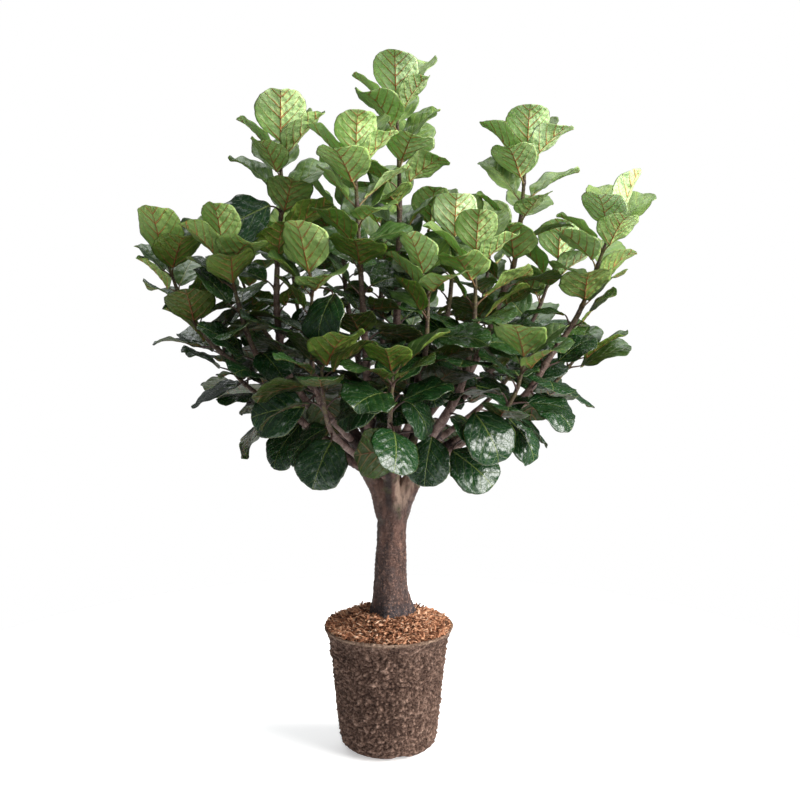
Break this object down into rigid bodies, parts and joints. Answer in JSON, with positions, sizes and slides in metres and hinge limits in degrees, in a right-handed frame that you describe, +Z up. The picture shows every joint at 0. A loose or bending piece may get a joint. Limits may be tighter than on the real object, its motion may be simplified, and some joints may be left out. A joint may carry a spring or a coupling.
{
  "type": "potted aralia",
  "caption": "Small tree with a short trunk, a spreading crown of big round leaves on upright shoots, and a tapered pulp nursery pot filled with soil under husk mulch.",
  "frame": {"origin": "centre of the pot's flat underside, on the floor", "axes": "+Z up the trunk, -Y towards the plant's best side, +X to the right of someone who faces that side"},
  "size_m": [1.3166, 1.0777, 1.8052],
  "materials": {
    "pulp": "matte",
    "soil": "matte",
    "husk": "matte",
    "bark": "matte",
    "young_foliage": "satin",
    "old_foliage": "gloss"
  },
  "bodies": {
    "root": {"pot": "pulp", "potting_soil": "soil", "husk_mulch": "husk", "trunk": "bark", "shoot_tall_left": "young_foliage", "shoot_leader": "young_foliage", "shoot_tall_right": "young_foliage", "shoot_far_left": "young_foliage", "shoot_far_right": "young_foliage", "shoot_centre_left": "young_foliage", "shoot_front_right": "young_foliage", "shoot_left": "young_foliage", "shoot_centre_right": "young_foliage", "shoot_front_left_high": "young_foliage", "shoot_front_left_low": "young_foliage", "shoot_front_centre": "young_foliage", "shoot_front_mid": "young_foliage", "shoot_front_right_low": "young_foliage", "shoot_left_low": "young_foliage", "shoot_left_back": "young_foliage", "shoot_right_low": "young_foliage", "shoot_right_back": "young_foliage", "shoot_inner_left": "young_foliage", "shoot_inner_right": "young_foliage", "shoot_back_left_high": "young_foliage", "shoot_back_left_low": "young_foliage", "shoot_back_centre_high": "young_foliage", "shoot_back_centre_low": "young_foliage", "shoot_back_right_high": "young_foliage", "shoot_back_right_low": "young_foliage", "leaf_front_dark": "old_foliage", "leaf_front_folded": "old_foliage", "leaf_front_right_lower": "old_foliage", "leaf_front_right_upper": "old_foliage", "leaf_front_left_glossy": "old_foliage", "leaf_front_left_dark": "old_foliage", "leaf_front_left_grey": "old_foliage", "leaf_left_folded": "old_foliage", "leaf_left_glossy": "old_foliage", "leaf_left_round": "old_foliage", "leaf_left_blue": "old_foliage", "leaf_centre_long": "old_foliage", "leaf_centre_arched": "old_foliage", "leaf_right_hanging": "old_foliage", "leaf_right_grey": "old_foliage", "leaf_right_back": "old_foliage", "leaf_back_right": "old_foliage", "leaf_back_centre": "old_foliage", "leaf_back_left": "old_foliage", "leaf_left_back": "old_foliage", "leaf_under_left": "old_foliage", "leaf_under_right": "old_foliage"}
  },
  "joints": []
}
